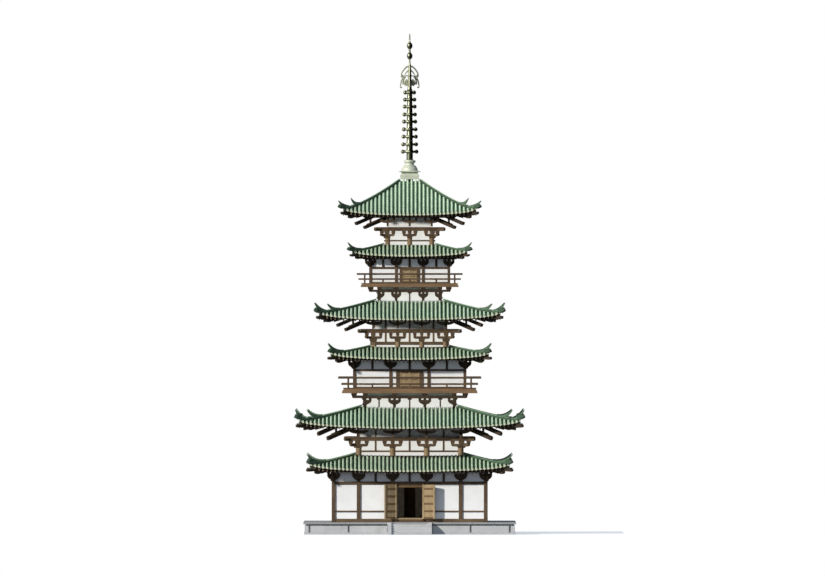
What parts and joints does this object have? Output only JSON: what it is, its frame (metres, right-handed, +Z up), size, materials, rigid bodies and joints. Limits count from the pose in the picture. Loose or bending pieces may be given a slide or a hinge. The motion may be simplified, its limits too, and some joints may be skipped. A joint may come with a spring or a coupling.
{
  "type": "three-storey timber pagoda",
  "caption": "Square timber pagoda on a stone podium, with tiled main and skirt roofs, balconies, a bronze finial and a double front door that opens.",
  "frame": {"origin": "on the ground under the centre of the podium", "axes": "+Z up, the front with the door faces -Y, +X to the right as seen from the front"},
  "size_m": [16.2698, 17.5, 35],
  "materials": {
    "stone": "matt dressed stone",
    "timber": "dark weathered timber",
    "door_timber": "pale weathered door boards",
    "deck_timber": "mid brown deck timber",
    "plaster": "matt white lime plaster",
    "roof_tile": "grey-green fired tile, satin",
    "bronze": "weathered pale green bronze"
  },
  "bodies": {
    "pagoda": {"podium_footing": "stone", "podium_wall": "stone", "podium_coping": "stone", "front_steps": "stone", "front_cheek_left": "stone", "front_cheek_right": "stone", "back_steps": "stone", "back_cheek_left": "stone", "back_cheek_right": "stone", "gallery_1_front_frame": "timber", "gallery_1_right_frame": "timber", "gallery_1_back_frame": "timber", "gallery_1_left_frame": "timber", "gallery_1_eaves": "timber", "core_1_frame": "timber", "core_1_eaves": "timber", "balcony_2_frame": "timber", "balcony_2_balustrade": "timber", "gallery_2_frame": "timber", "gallery_2_eaves": "timber", "core_2_frame": "timber", "core_2_eaves": "timber", "balcony_3_frame": "timber", "balcony_3_balustrade": "timber", "gallery_3_frame": "timber", "gallery_3_eaves": "timber", "core_3_frame": "timber", "core_3_eaves": "timber", "central_pillar": "timber", "balcony_2_deck": "deck_timber", "balcony_3_deck": "deck_timber", "front_wall_left": "plaster", "front_wall_right": "plaster", "front_wall_over_door": "plaster", "back_wall": "plaster", "left_wall": "plaster", "right_wall": "plaster", "core_1_walls": "plaster", "balcony_2_walls": "plaster", "gallery_2_walls": "plaster", "core_2_walls": "plaster", "balcony_3_walls": "plaster", "gallery_3_walls": "plaster", "core_3_walls": "plaster", "roof_1_tiles": "roof_tile", "roof_2_tiles": "roof_tile", "roof_3_tiles": "roof_tile", "roof_4_tiles": "roof_tile", "roof_5_tiles": "roof_tile", "roof_6_tiles": "roof_tile", "finial_basin": "bronze", "finial_bowl": "bronze", "finial_shaft": "bronze", "finial_flame": "bronze"},
    "door_left": {"front_door_left": "door_timber"},
    "door_right": {"front_door_right": "door_timber"}
  },
  "joints": [
    {"name": "front_door_left_pivot", "type": "hinge", "parent": "pagoda", "child": "door_left", "pos_m": [-0.93, -5.495, 2.27], "axis": [0, 0, 1], "range_deg": [-10, 155]},
    {"name": "front_door_right_pivot", "type": "hinge", "parent": "pagoda", "child": "door_right", "pos_m": [0.93, -5.495, 2.27], "axis": [0, 0, -1], "range_deg": [-10, 155]}
  ]
}
